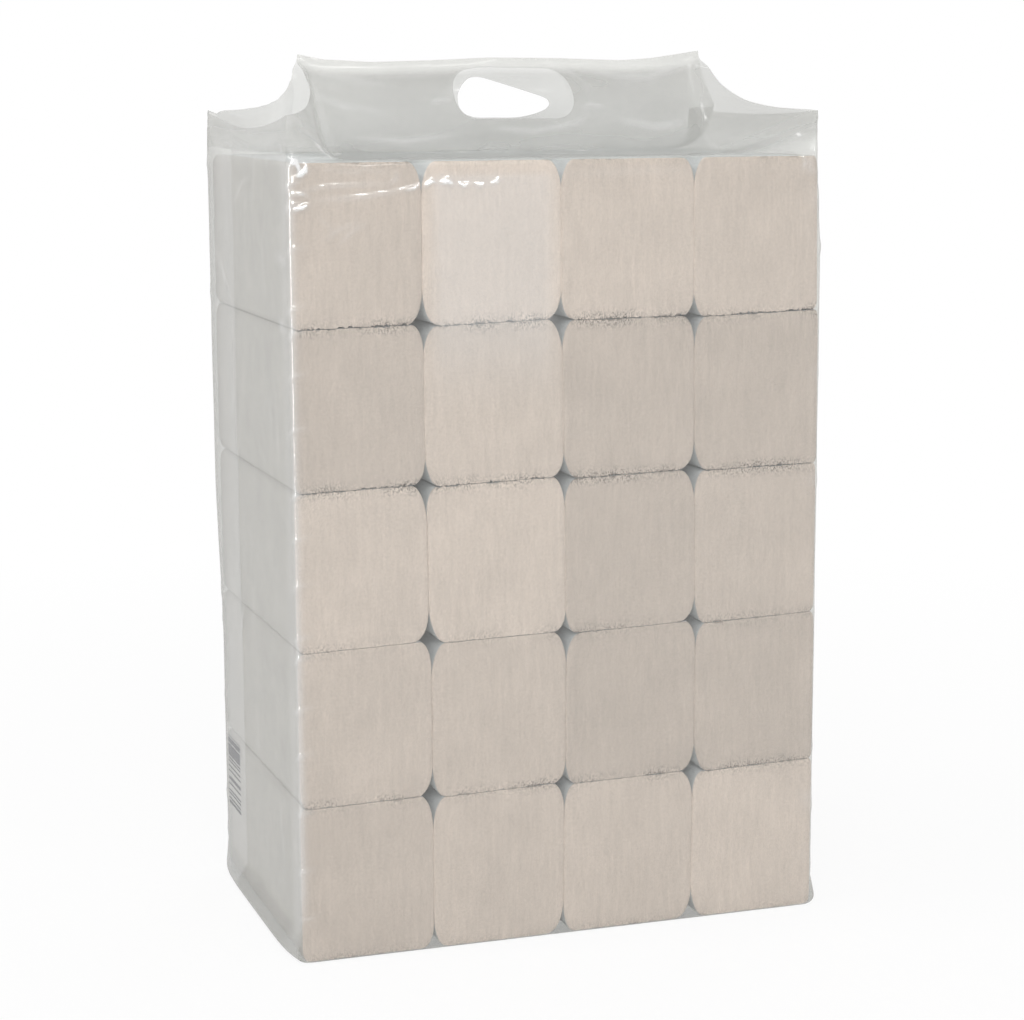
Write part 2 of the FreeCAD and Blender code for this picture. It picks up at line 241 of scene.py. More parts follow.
_, bag_high = node_box("carry_bag")
BASE_RADIUS = 8.0
TUCK = 0.5                                      # the base panel's underside
CREASE_HEIGHT = 0.8
HALF_WIDTH = bag_high.x - CREASE_HEIGHT
HALF_DEPTH = bag_high.y
SEAM_TOP = bag_high.z
ROOM_AND_WALL = 0.8                             # from the bundles to its outside
SHOULDER = node_box("bundle_r1c1")[1].z + ROOM_AND_WALL     # top of the tube
WELD_BAND = 6.0
SEAM_LENGTH = 314.0
SHOULDER_RADIUS = 45.0                          # die-cut corners of the head
EAR_TIP = SHOULDER + 32.5
LEFT_SAG = 11.0                                 # the sides' free edges dip
RIGHT_SAG = 4.0

WELD_HALF = 0.15                                # of the weld's thickness
CLIMB = SEAM_TOP - WELD_BAND - SHOULDER         # each panel climbs in an arc
LEVEL_RUN = HALF_DEPTH - WELD_HALF - CLIMB      # after lying level so far
PANEL = LEVEL_RUN + CLIMB * math.pi / 2         # a head panel, along the film
PATTERN_TOP = SHOULDER + PANEL + WELD_BAND
HEAD_LEAN = 16.0                                # the head hangs to the front
SEAM_DRAWN = 4.5                                # its left end is drawn out
FLARE_FROM = 150.0                              # the panels turn out past this
FOOT_HEIGHT = 24.0                              # the base's tucks stand out
FOOT_REACH = 10.0
RIGHT_BULGE = 3.4                               # and so does the right side
BACK_BULGE = 3.4                                # and the back left edge

# Round the tube: it starts at the middle of the right side, and goes by the
# back, the left side and the front.
BACK_RIGHT = HALF_DEPTH
BACK_LEFT = BACK_RIGHT + 2 * HALF_WIDTH
FRONT_LEFT = BACK_LEFT + 2 * HALF_DEPTH
FRONT_RIGHT = FRONT_LEFT + 2 * HALF_WIDTH
ROUND = FRONT_RIGHT + HALF_DEPTH
BACK_MIDDLE = (BACK_RIGHT + BACK_LEFT) / 2
FRONT_MIDDLE = (FRONT_LEFT + FRONT_RIGHT) / 2
LEFT_MIDDLE = (BACK_LEFT + FRONT_LEFT) / 2
KNOTS = (0.0, BACK_RIGHT, BACK_LEFT, FRONT_LEFT, FRONT_RIGHT, ROUND)
KNOTS_X = (HALF_WIDTH, HALF_WIDTH, -HALF_WIDTH, -HALF_WIDTH, HALF_WIDTH, HALF_WIDTH)
KNOTS_Y = (0.0, HALF_DEPTH, HALF_DEPTH, -HALF_DEPTH, -HALF_DEPTH, 0.0)

FILM = 0.14             # thickness
JOINED = 0.02           # points of the film this close are one
EDGE_ROUND = 3.2        # how softly the film turns its upright edges
TOP_ROUND = 2.4         # and the pack's top edges
CLOSING = 40.0          # over this length the film's slack meets itself
SHARP = 55              # a turn over this many degrees stays sharp


def flare(x, y):
    """How far a head panel has turned out to its ear, from 0 to 1: soonest at
    the front left, evenly at the front right, and late at the back, where
    the film puckers beside the seam's ends."""
    beside = np.abs(x)
    share = np.clip((beside - FLARE_FROM) / (HALF_WIDTH - FLARE_FROM), 0.0, 1.0)
    soon = (1.0 - (1.0 - share) ** 1.45) * smooth_step(147, 169, beside)
    pucker = 0.09 * hump(beside, 161.0, 7.0) * smooth_step(146, 156, beside)
    late = share ** 4.0 + pucker * (x < 0)
    return np.where(y > 0, late, np.where(x < 0, soon, share ** 1.25))


def head_wave(x, rise):
    """How far the head leans and waves from the pack's middle, for arrays."""
    lean = HEAD_LEAN * (1.0 - 0.75 * smooth_step(90, 155, np.abs(x)))
    wave = noise_field(x, 60.0 * rise, 75.0, 60.0, 3)
    return -lean * 4.0 * rise * (1.0 - rise) + 3.0 * wave * smooth_step(0.1, 0.6, rise)


def noise_field(s, t, across, up, seed):
    """Soft unevenness from -1 to 1, with waves across and up that long."""
    return np.array([
        noise.noise(Vector((a / across, b / up, 7.3 * seed))) for a, b in zip(s, t)])


def around(field, s, t):
    """A field over the pattern, made to meet itself where the tube closes."""
    share = smooth_step(ROUND - CLOSING, ROUND, s)
    return (1.0 - share) * field(s, t) + share * field(s - ROUND, t)


def folded_film(s, t):
    """Where the film's pattern point (s round the tube, t up it) lies on the
    pack before any slack: arrays in, arrays out, in millimetres."""
    s = np.mod(s, ROUND)
    x = np.interp(s, KNOTS, KNOTS_X)
    y = np.interp(s, KNOTS, KNOTS_Y)
    # the base: side edges drawn round, front and back edges nearly sharp
    turn = np.clip((TUCK + BASE_RADIUS - t) / BASE_RADIUS, 0.0, math.pi / 2)
    inset = BASE_RADIUS * (1.0 - np.cos(turn))
    x = x * (1.0 - inset / HALF_WIDTH)
    y = y * (1.0 - 0.22 * inset / HALF_DEPTH)
    z = np.where(turn > 0, TUCK + BASE_RADIUS * (1.0 - np.sin(turn)), t)
    # the base's tucks stand out at the two sides, and the right side bulges
    foot = np.maximum(0.0, 1.0 - (z / FOOT_HEIGHT) ** 1.5)
    foot *= 1.0 - (0.78 + 0.17 * np.sign(y)) * (np.abs(y) / HALF_DEPTH) ** 6
    x = x + FOOT_REACH * foot * np.sign(x) * smooth_step(175, 195, np.abs(x))
    below_top = 1.0 - smooth_step(SHOULDER - 75, SHOULDER, t)
    x = x + RIGHT_BULGE * smooth_step(110, 195, x) * below_top
    # the head: two panels that climb to the seam, turning into upright ears
    along = np.clip(t - SHOULDER, 0.0, PANEL)
    strip = np.maximum(t - SHOULDER - PANEL, 0.0)
    angle = np.maximum(along - LEVEL_RUN, 0.0) / CLIMB
    tent_y = HALF_DEPTH - np.minimum(along, LEVEL_RUN) - CLIMB * np.sin(angle)
    tent_z = SHOULDER + CLIMB * (1.0 - np.cos(angle))
    ear_z = SHOULDER + CLIMB * along / PANEL
    out = flare(x, y) * (1.0 - smooth_step(PATTERN_TOP - 12, PATTERN_TOP - 4, t))
    y = np.where(t > SHOULDER, (1.0 - out) * np.sign(y) * tent_y + out * y, y)
    z = np.where(t > SHOULDER, (1.0 - out) * tent_z + out * ear_z + strip, z)
    return x, y, z


def draped_film(s, t):
    """folded_film with its sharp creases turned softly, and its head leaning."""
    total = [0.0, 0.0, 0.0]
    offsets = (-1.0, -0.5, 0.0, 0.5, 1.0)
    soft = TOP_ROUND * smooth_step(20, 60, t)
    soft = soft * (1.0 - smooth_step(PATTERN_TOP - 16, PATTERN_TOP - 8, t))
    for across in offsets:
        for up in offsets:
            point = folded_film(s + across * EDGE_ROUND, t + up * soft)
            total = [added + part for added, part in zip(total, point)]
    x, y, z = [part / len(offsets) ** 2 for part in total]
    rise = np.clip((z - SHOULDER) / CLIMB, 0.0, 1.0)
    upright = 1.0 - flare(x, y) ** 0.5
    y = y + head_wave(x, rise) * upright
    # the seam's left end is drawn out to the side
    drawn = smooth_step(110, 157, -x) * (1.0 - smooth_step(168, 196, -x))
    return x - SEAM_DRAWN * drawn * smooth_step(0.7, 1.0, rise), y, z


def up_pattern(x, z, side=-1):
    """How far up the pattern a front (-1) or back (1) panel reaches height z
    at x, found by halving."""
    if z <= SHOULDER:
        return z
    out = float(flare(np.float64(x), np.float64(side)))
    low, high = 0.0, PANEL
    for _ in range(40):
        middle = (low + high) / 2
        tent = CLIMB * (1.0 - math.cos(max(middle - LEVEL_RUN, 0.0) / CLIMB))
        height = (1.0 - out) * tent + out * CLIMB * middle / PANEL
        if SHOULDER + height < z:
            low = middle
        else:
            high = middle
    return SHOULDER + (low + high) / 2 + max(0.0, z - SHOULDER - CLIMB)


def shoulder_edge(spacing, corner, side):
    """Half of a head panel's top edge, from the seam's middle to the ear:
    along the seam, then down the die-cut shoulder, as (x, t) points."""
    centre_x = SEAM_LENGTH / 2 + SHOULDER_RADIUS
    centre_z = EAR_TIP + SHOULDER_RADIUS
    start = math.asin((centre_z - SEAM_TOP) / SHOULDER_RADIUS)
    seam_end = centre_x - SHOULDER_RADIUS * math.cos(start)
    along = int(seam_end / spacing)
    line = [(corner * seam_end * k / along, PATTERN_TOP) for k in range(along)]
    steps = 32
    for k in range(steps):
        angle = start + (math.pi / 2 - start) * k / steps
        x = centre_x - SHOULDER_RADIUS * math.cos(angle)
        z = centre_z - SHOULDER_RADIUS * math.sin(angle)
        if x < HALF_WIDTH - 1.0:
            line.append((corner * x, up_pattern(corner * x, z, side)))
    line.append((corner * HALF_WIDTH, up_pattern(corner * HALF_WIDTH, EAR_TIP, side)))
    return line


def side_edge(spacing, sag):
    """Half of a side's free edge, from its ear to its middle, as (y, t)."""
    count = int(HALF_DEPTH / spacing)
    line = []
    for k in range(1, count + 1):
        y = HALF_DEPTH * (1.0 - k / count)
        dip = EAR_TIP - sag * (1.0 - (y / HALF_DEPTH) ** 2)
        line.append((y, up_pattern(HALF_WIDTH, dip)))
    return line


def top_edge(spacing):
    """The film's free top edge once round the tube, as (s, t) points."""
    left_side, right_side = side_edge(spacing, LEFT_SAG), side_edge(spacing, RIGHT_SAG)
    line = right_side[::-1]
    line += [(BACK_MIDDLE - x, t) for x, t in shoulder_edge(spacing, 1, 1)[::-1]]
    line += [(BACK_MIDDLE - x, t) for x, t in shoulder_edge(spacing, -1, 1)[1:]]
    line += [(LEFT_MIDDLE - y, t) for y, t in left_side]
    line += [(LEFT_MIDDLE + y, t) for y, t in left_side[-2::-1]]
    line += [(FRONT_MIDDLE + x, t) for x, t in shoulder_edge(spacing, -1, -1)[::-1]]
    line += [(FRONT_MIDDLE + x, t) for x, t in shoulder_edge(spacing, 1, -1)[1:]]
    line += [(ROUND - y, t) for y, t in right_side]
    return line


HOLE_WIDTH = 94.0
HOLE_HEIGHT = 38.0
HOLE_CORNER = 17.0
HOLE_BELOW_SEAM = 8.0
HOLE_MIDDLE = SEAM_TOP - HOLE_BELOW_SEAM - HOLE_HEIGHT / 2
CORNER_STEPS = 8        # points round each of its corners
# The back panel's cut-out still hangs from its upper right, so less is open.
BACK_HOLE = (
    (-42, 625), (-38, 632), (-32, 637), (-24, 637.5), (-10, 633), (10, 627),
    (29, 621), (32, 616), (29, 611.5), (20, 608), (6, 605.5), (-24, 606),
    (-35, 609), (-41, 616),
)


def front_hole(spacing):
    """The front panel's hand hole, an oblong with round corners, as (x, z)
    points once round it."""
    flat_w, flat_h = HOLE_WIDTH / 2 - HOLE_CORNER, HOLE_HEIGHT / 2 - HOLE_CORNER
    points = []
    for quarter, (right, up) in enumerate(((1, 1), (-1, 1), (-1, -1), (1, -1))):
        for k in range(CORNER_STEPS + 1):
            angle = math.pi / 2 * (quarter + k / CORNER_STEPS)
            x = right * flat_w + HOLE_CORNER * math.cos(angle)
            z = HOLE_MIDDLE + up * flat_h + HOLE_CORNER * math.sin(angle)
            points.append((x, z))
        if quarter % 2 == 0:
            across = int(2 * flat_w / spacing)
            for k in range(1, across):
                x = up * flat_w * (1.0 - 2.0 * k / across)
                points.append((x, HOLE_MIDDLE + up * HOLE_HEIGHT / 2))
    return points


def back_hole(spacing):
    """What is open of the back panel's hand hole, as (x, z) points: its
    outline with the corners cut off twice, which rounds them."""
    outline, points = BACK_HOLE, []
    for _ in range(2):
        pairs = zip(outline, outline[1:] + outline[:1])
        outline = tuple(
            (x1 + (x2 - x1) * share, z1 + (z2 - z1) * share)
            for (x1, z1), (x2, z2) in pairs for share in (0.2, 0.8))
    for (x1, z1), (x2, z2) in zip(outline, outline[1:] + outline[:1]):
        count = max(1, int(math.hypot(x2 - x1, z2 - z1) / spacing))
        for k in range(count):
            points.append((x1 + (x2 - x1) * k / count, z1 + (z2 - z1) * k / count))
    return points


def steps_between(start, end, spacing):
    """Evenly spaced places from start to end, both included."""
    count = max(1, int(round((end - start) / spacing)))
    return [start + (end - start) * k / count for k in range(count + 1)]


# How far apart the pattern's points lie: up the walls, over the pack's top
# edges, up the head, round the tube and by its upright edges, and on the rims.
WALL_STEP, BEND_STEP, HEAD_STEP = 8.0, 2.2, 4.0
ROUND_STEP, EDGE_STEP = 6.0, 1.6
EDGE_STEPS, EDGE_REACH = 4, 9.5         # close columns, and where the even ones start
TOP_STEP, HOLE_STEP = 3.6, 3.0
BASE_STEPS = 6          # rows round the base's edge


def film_levels():
    """Heights of the pattern's rows: close where the film bends."""
    floor = TUCK + BASE_RADIUS
    base = [floor - BASE_RADIUS * math.pi / 2 * k / BASE_STEPS
            for k in range(BASE_STEPS, 0, -1)]
    wall = steps_between(floor, SHOULDER - 12, WALL_STEP)
    bend = steps_between(SHOULDER - 9, SHOULDER + 9, BEND_STEP)
    head = steps_between(SHOULDER + 12, PATTERN_TOP - 3, HEAD_STEP)
    return base + wall + bend + head


def film_columns():
    """Places of the pattern's columns round the tube: close at its edges."""
    places = [0.0, ROUND]
    corners = KNOTS[1:-1]
    for corner in corners:
        places += [corner + k * EDGE_STEP for k in range(-EDGE_STEPS, EDGE_STEPS + 1)]
    starts = [0.0] + [corner + EDGE_REACH for corner in corners]
    ends = [corner - EDGE_REACH for corner in corners] + [ROUND]
    for start, end in zip(starts, ends):
        places += steps_between(start, end, ROUND_STEP)
    return sorted(set(places))


# Where the film is creased its points lie closer: from s to s, from t to t,
# and how far apart they lie.
CLOSE_ZONES = (
    (FRONT_MIDDLE - 122, FRONT_MIDDLE - 6, 554, 567, 1.4),
    (FRONT_LEFT + 2, FRONT_LEFT + 26, 530, SHOULDER + 10, 1.6),
    (FRONT_LEFT + 2, FRONT_LEFT + 130, 515, SHOULDER + 8, 2.2),
    (FRONT_LEFT + 130, FRONT_LEFT + 200, 552, SHOULDER + 4, 2.2),
    (FRONT_LEFT - 14, FRONT_LEFT + 14, 14, SHOULDER + 26, 2.4),
    (LEFT_MIDDLE - 84, LEFT_MIDDLE - 44, 20, SHOULDER + 20, 2.6),
    (LEFT_MIDDLE - 44, FRONT_LEFT - 14, 540, SHOULDER + 30, 2.8),
    (FRONT_LEFT + 200, FRONT_RIGHT - 4, 560, SHOULDER + 4, 2.6),
    (FRONT_MIDDLE - 172, FRONT_MIDDLE + 172, SHOULDER + 60, PATTERN_TOP - 1, 2.9),
    (BACK_MIDDLE - 60, BACK_MIDDLE + 60, SHOULDER + 100, PATTERN_TOP - 1, 3.2),
)
# How far the points keep from a closer zone, and from the film's rims.
GRID_MARGIN, ZONE_MARGIN, RIM_MARGIN = 1.2, 1.0, 1.4


def close_lattice(s_low, s_high, t_low, t_high, spacing):
    """Points in staggered rows that fill a zone of the pattern."""
    points = []
    row_spacing = spacing * 0.87            # for triangles with equal sides
    for k, t in enumerate(steps_between(t_low, t_high, row_spacing)):
        shift = spacing / 2 * (k % 2)
        points += [(s + shift, t) for s in steps_between(s_low, s_high - spacing / 2, spacing)]
    return np.array(points)


def outside_zones(points, zones, margin):
    """Which of the points lie in none of the zones."""
    free = np.ones(len(points), bool)
    for s_low, s_high, t_low, t_high, _ in zones:
        inside = (points[:, 0] > s_low - margin) & (points[:, 0] < s_high + margin)
        inside &= (points[:, 1] > t_low - margin) & (points[:, 1] < t_high + margin)
        free &= ~inside
    return free


def nearest(points, others):
    """Distance from each of points to the nearest of others."""
    best = np.full(len(points), 1e9)
    for other in others:
        gap = np.hypot(points[:, 0] - other[0], points[:, 1] - other[1])
        best = np.minimum(best, gap)
    return best


def film_pattern():
    """The flat film: cut to its outline, with its hand holes, as points
    (s, t) and triangles."""
    top = top_edge(TOP_STEP)
    columns, levels = film_columns(), film_levels()
    floor = levels[0]
    dip = top[0][1]
    ends = [t for t in levels[1:] if t < dip - 2.0]
    outline = [(s, floor) for s in columns]
    outline += [(ROUND, t) for t in ends]
    outline += top[::-1]
    outline += [(0.0, t) for t in ends[::-1]]
    holes = (
        [(FRONT_MIDDLE + x, up_pattern(x, z, -1)) for x, z in front_hole(HOLE_STEP)],
        [(BACK_MIDDLE - x, up_pattern(x, z, 1)) for x, z in back_hole(HOLE_STEP)],
    )
    rims = (outline, *holes)
    points = [point for rim in rims for point in rim]
    rim_points = points[len(columns):]
    grid = np.array([(s, t) for t in levels[1:] for s in columns[1:-1]])
    grid = grid[outside_zones(grid, CLOSE_ZONES, GRID_MARGIN)]
    fill = [grid]
    for place, zone in enumerate(CLOSE_ZONES):
        lattice = close_lattice(*zone)
        fill.append(lattice[outside_zones(lattice, CLOSE_ZONES[:place], ZONE_MARGIN)])
    fill = np.concatenate(fill)
    below = np.interp(fill[:, 0], [s for s, _ in top], [t for _, t in top])
    keep = (fill[:, 1] < below) & (nearest(fill, rim_points) > RIM_MARGIN)
    points += [tuple(point) for point in fill[keep]
               if not any(in_rim(point, hole) for hole in holes)]
    loops, first = [], 0
    for rim in rims:
        loops.append(list(range(first, first + len(rim))))
        first += len(rim)
    edges = [(a, b) for loop in loops[1:] for a, b in zip(loop, loop[1:] + loop[:1])]
    flat, _, faces, _, _, _ = delaunay_2d_cdt(
        [Vector(point) for point in points], edges, [loops[0]], 1, 1e-5)
    return flat, faces, holes


def in_rim(point, rim):
    """True if a pattern point lies inside a hole's rim."""
    inside = False
    for (s1, t1), (s2, t2) in zip(rim, rim[1:] + rim[:1]):
        if (t1 > point[1]) != (t2 > point[1]):
            if point[0] < s1 + (point[1] - t1) / (t2 - t1) * (s2 - s1):
                inside = not inside
    return inside


def film_bag():
    """The bag's film as one piece: pattern, fold, slack, seam and wall."""
    flat, faces, holes = film_pattern()
    kept = []
    for face in faces:
        middle = sum((flat[k] for k in face), Vector((0, 0))) / len(face)
        if middle[1] < SHOULDER or not any(in_rim(middle, rim) for rim in holes):
            kept.append(face)
    s = np.array([point[0] for point in flat])
    t = np.array([point[1] for point in flat])
    x, y, z = draped_film(s, t)
    seam = t > PATTERN_TOP - 0.01
    y = np.where(seam, head_wave(x, np.ones(len(x))), y)
    mesh = bpy.data.meshes.new("bag_film")
    mesh.from_pydata(list(zip(x * MM, y * MM, z * MM)), [], kept)
    film = bpy.data.objects.new("bag_film", mesh)
    bpy.context.collection.objects.link(film)
    fields = {"round_tube": s, "up_tube": t, "cloud": around(film_cloud, s, t),
              "gloss_and_painted_highlights": around(film_gloss_and_painted_highlights, s, t)}
    for name, values in fields.items():
        layer = mesh.attributes.new(name, "FLOAT", "POINT")
        layer.data.foreach_set("value", values.astype(np.float32))
    slack_film(mesh, s, t)
    deselect_all()
    film.select_set(True)
    bpy.context.view_layer.objects.active = film
    bpy.ops.object.mode_set(mode="EDIT")
    bpy.ops.mesh.select_all(action="SELECT")
    bpy.ops.mesh.remove_doubles(threshold=JOINED * MM)
    bpy.ops.object.mode_set(mode="OBJECT")
    close_base(mesh)
    wall = film.modifiers.new("wall", "SOLIDIFY")
    wall.thickness = FILM * MM
    wall.offset = -1.0
    bpy.ops.object.modifier_apply(modifier=wall.name)
    bpy.ops.object.shade_smooth_by_angle(angle=math.radians(SHARP))
    return film


def close_base(mesh):
    """Joins the film's lower edge under the base."""
    work = bmesh.new()
    work.from_mesh(mesh)
    foot = [e for e in work.edges if e.is_boundary and e.verts[0].co.z < 2 * TUCK * MM
            and e.verts[1].co.z < 2 * TUCK * MM]
    bmesh.ops.edgeloop_fill(work, edges=foot)
    work.to_mesh(mesh)
    work.free()


def slack_film(mesh, s, t):
    """Moves the film off its taut form, outwards along its own face."""
    normals = np.empty(len(mesh.vertices) * 3)
    mesh.vertices.foreach_get("normal", normals)
    places = np.empty(len(mesh.vertices) * 3)
    mesh.vertices.foreach_get("co", places)
    lift = around(film_slack, s, t)
    places = places.reshape(-1, 3) + normals.reshape(-1, 3) * lift[:, None] * MM
    places[:, 2] += seam_sag(s, t) * MM
    mesh.vertices.foreach_set("co", places.ravel())
    mesh.update()


def front(x, z):
    """The pattern point at x and z on the pack's front."""
    return FRONT_MIDDLE + x, z


def panel(x, along):
    """The pattern point at x on the front head panel, that far along it."""
    return FRONT_MIDDLE + x, SHOULDER + along


def left(y, z):
    """The pattern point at y and z on the pack's left side."""
    return LEFT_MIDDLE - y, z


# Folds and creases of the film: their line, how proud they stand, and how
# wide they are.
FRONT_CREASES = (       # in x and z
    # the film leaves the paper along the front's upper edge
    (((-181, 575), (-168, 572), (-152, 570.5), (-146, 573), (-136, 571), (-127, 570)),
     0.5, 1.4),
    (((-103, 567), (-60, 565), (-6, 566)), 0.3, 1.8),
    (((2, 567), (50, 568), (98, 569)), 0.3, 1.8),
    # glints over the second bundle
    (((-104, 559), (-98, 563.5), (-93, 562)), 1.5, 1.7),
    (((-92, 562), (-86, 563.5), (-81, 560.5)), 1.7, 2.0),
    (((-79, 562), (-74, 560), (-69, 562)), 1.4, 1.6),
    (((-68, 561.5), (-62, 560), (-57, 561)), 1.1, 1.5),
    (((-55, 561), (-50, 562), (-48, 565)), 1.3, 1.5),
    # a small crumple at the upper right corner
    (((188, 565), (190, 574), (188, 582)), 1.1, 1.4),
    (((194, 565), (194, 572), (196, 579)), 1.1, 1.4),
    # the crumpled upper left corner, and creases that run from it
    (((-198, 586), (-195, 577), (-193, 570)), 2.1, 2.0),
    (((-188, 578), (-189, 572), (-197, 567)), 1.9, 2.0),
    (((-200, 575), (-197, 580), (-198, 586)), 1.5, 1.6),
    (((-196, 558.5), (-175, 561), (-153, 562), (-127, 562.5)), 0.8, 1.5),
    (((-200, 556), (-190, 556), (-186, 554)), 1.3, 1.4),
    (((-182, 552), (-153, 553), (-129, 556), (-108, 560.5)), 1.0, 1.5),
    (((-118, 556.5), (-110, 559), (-106, 562)), 1.1, 1.4),
    (((-200, 545), (-193, 546.5), (-186, 549)), 1.7, 1.7),
    (((-128.5, 562.5), (-123, 566), (-123.5, 570.5)), 0.9, 1.3),
    (((-176, 525), (-166, 531), (-153, 536)), 0.7, 1.4),
    (((-166, 521.5), (-153, 532), (-146, 535)), 0.7, 1.4),
    (((-182, 542), (-172, 533), (-170, 527)), 0.35, 1.4),
)
LEFT_CREASES = (        # in y and z
    # the side crease, where the tube was folded flat
    (((48, 600), (62, 577), (74, 554), (66, 505), (61, 442), (58, 363), (52, 339),
      (55, 267), (49, 221), (50, 120), (51, 24)), 0.8, 1.2),
    (((113, 507), (90, 491), (61, 467)), 1.0, 1.6),
    (((53, 541), (13, 560), (-17, 566)), 0.7, 1.6),
    (((-55, 517), (-89, 512.5), (-119, 509.5)), 1.2, 1.8),
    (((-78, 469), (-105, 462), (-121, 461)), 1.2, 1.8),
    (((-84, 388), (-105, 386), (-118, 383)), 0.9, 1.6),
    (((20, 602), (16, 588), (17, 574)), 0.7, 1.3),
    (((-6, 601), (-12, 585), (-10, 566)), 0.8, 1.4),
    (((-38, 602), (-40, 590), (-46, 578)), 0.6, 1.2),
    (((-60, 605), (-66, 588), (-64, 570)), 0.8, 1.4),
    (((-84, 608), (-90, 592), (-96, 580)), 0.7, 1.3),
    (((-104, 611), (-112, 595), (-118, 574)), 0.9, 1.5),
    (((84, 604), (78, 590), (80, 572)), 0.7, 1.4),
)
HEAD_CREASES = (        # in x and along the panel
    # the head: a fold below the seam, the curled lip of the hand hole
    (((62, 161), (84, 158), (112, 155), (150, 163)), 1.2, 2.4),
    (((-148, 160), (-120, 156), (-88, 152)), 0.5, 3.0),
    (((-160, 144), (-134, 137), (-100, 129)), 0.6, 3.4),
    (((-52, 141), (-42, 152), (-26, 161), (-5, 165), (30, 166), (48, 161), (60, 150)),
     1.6, 3.0),
    (((-66, 137), (-58, 139), (-50, 138)), 1.2, 1.8),
    (((52, 131), (60, 134), (72, 132)), 1.0, 2.0),
    (((-20, 112), (10, 108), (44, 116), (56, 126)), 1.3, 3.0),
    (((80, 122), (110, 112), (140, 116)), 1.2, 4.0),
    (((-130, 104), (-90, 98), (-50, 106)), 1.0, 4.5),
    (((-120, 72), (-150, 56), (-178, 40)), 0.5, 4.0),
)
# Nicks where the film turns the pack's front left edge.
NICK_HEIGHTS = (588, 563, 549, 518, 477, 459, 430, 392, 345, 314, 280, 242, 227, 190,
                156, 113, 70, 34)
NICK_REACH = 11
EDGE_NICKS, SOFT_CREASES = 11, 9        # how many, on each edge and each face


def placed(creases, place):
    """Creases whose lines are put on the pattern by place."""
    return [([place(*point) for point in line], proud, width)
            for line, proud, width in creases]


def nicks():
    """The creases that NICK_HEIGHTS lists."""
    return [(((FRONT_LEFT - 10, height - 5), (FRONT_LEFT, height),
              (FRONT_LEFT + NICK_REACH, height + 2)), 0.8, 1.5) for height in NICK_HEIGHTS]


def scattered_creases():
    """Fewer nicks on the other upright edges, and a few long soft creases on
    the sides and the back."""
    draw = random.Random(5)
    creases = []
    for corner in (BACK_RIGHT, BACK_LEFT, FRONT_RIGHT):
        for _ in range(EDGE_NICKS):
            height, slope = draw.uniform(30, 590), draw.uniform(-6, 6)
            line = ((corner - NICK_REACH, height - slope), (corner + NICK_REACH, height + slope))
            creases.append((line, draw.uniform(0.4, 0.8), 2.0))
    for middle in (0.0, ROUND, BACK_MIDDLE, LEFT_MIDDLE):
        for _ in range(SOFT_CREASES):
            start, height = middle + draw.uniform(-100, 100), draw.uniform(60, 560)
            run, rise = draw.uniform(-14, 14), draw.uniform(20, 70)
            line = ((start, height), (start + run * 0.7, height + rise / 2),
                    (start + run, height + rise))
            creases.append((line, draw.uniform(0.3, 0.7), 3.0))
    return creases


CREASES = (placed(FRONT_CREASES, front) + placed(LEFT_CREASES, left)
           + placed(HEAD_CREASES, panel) + nicks() + scattered_creases())


def crease(s, t, line, proud, width):
    """A crease's height over pattern points: sharp along its line, and fading
    out at both of its ends."""
    gap = np.full(len(s), 1e9)
    place = np.zeros(len(s))
    lengths = [math.hypot(b[0] - a[0], b[1] - a[1]) for a, b in zip(line, line[1:])]
    done = 0.0
    for (s1, t1), (s2, t2), length in zip(line, line[1:], lengths):
        share = ((s - s1) * (s2 - s1) + (t - t1) * (t2 - t1)) / length ** 2
        share = np.clip(share, 0.0, 1.0)
        here = np.hypot(s - s1 - share * (s2 - s1), t - t1 - share * (t2 - t1))
        place = np.where(here < gap, (done + share * length) / sum(lengths), place)
        gap = np.minimum(gap, here)
        done += length
    fade = np.sin(math.pi * np.clip(place, 0.03, 0.97)) ** 0.6
    return proud * fade * np.exp(-(gap / width) ** 1.5)


def film_slack(s, t):
    """How far the film stands off its taut form, in millimetres."""
    tube = smooth_step(12, 40, t) * (1.0 - smooth_step(SHOULDER + 6, SHOULDER + 30, t))
    lift = tube * (0.16 + 0.22 * noise_field(s, t, 34, 60, 1) + 0.08 * noise_field(s, t, 9, 16, 2))
    lift = np.maximum(lift, -0.15 * tube)
    # the corner at the upper left is crumpled
    crumple = 1.0 - 2.2 * np.abs(noise_field(s, t, 12, 17, 4))
    lift += corner_crumple(s, t) * (0.6 + 0.6 * crumple)
    # the edge at the back left stands out, but for the lower part of its height
    lift += BACK_BULGE * hump(s, BACK_LEFT, 26) * smooth_step(190, 330, t)
    # the head is slack, but its two panels meet at the seam
    head = smooth_step(SHOULDER + 24, SHOULDER + 70, t)
    head = head * (1.0 - smooth_step(PATTERN_TOP - 20, PATTERN_TOP - 6, t))
    lift += head * (0.5 + 1.2 * noise_field(s, t, 60, 34, 5) + 0.4 * noise_field(s, t, 16, 12, 6))
    return lift + film_ridges(s, t)


def corner_crumple(s, t):
    """1 where the film is crumpled, at the pack's upper left front corner."""
    return hump(s, FRONT_LEFT + 7, 17) * hump(t, 568, 27)


def film_ridges(s, t):
    """The height of all the creases together."""
    near_seam = 1.0 - smooth_step(PATTERN_TOP - 8, PATTERN_TOP - 3, t)
    return near_seam * sum(crease(s, t, line, proud, width) for line, proud, width in CREASES)


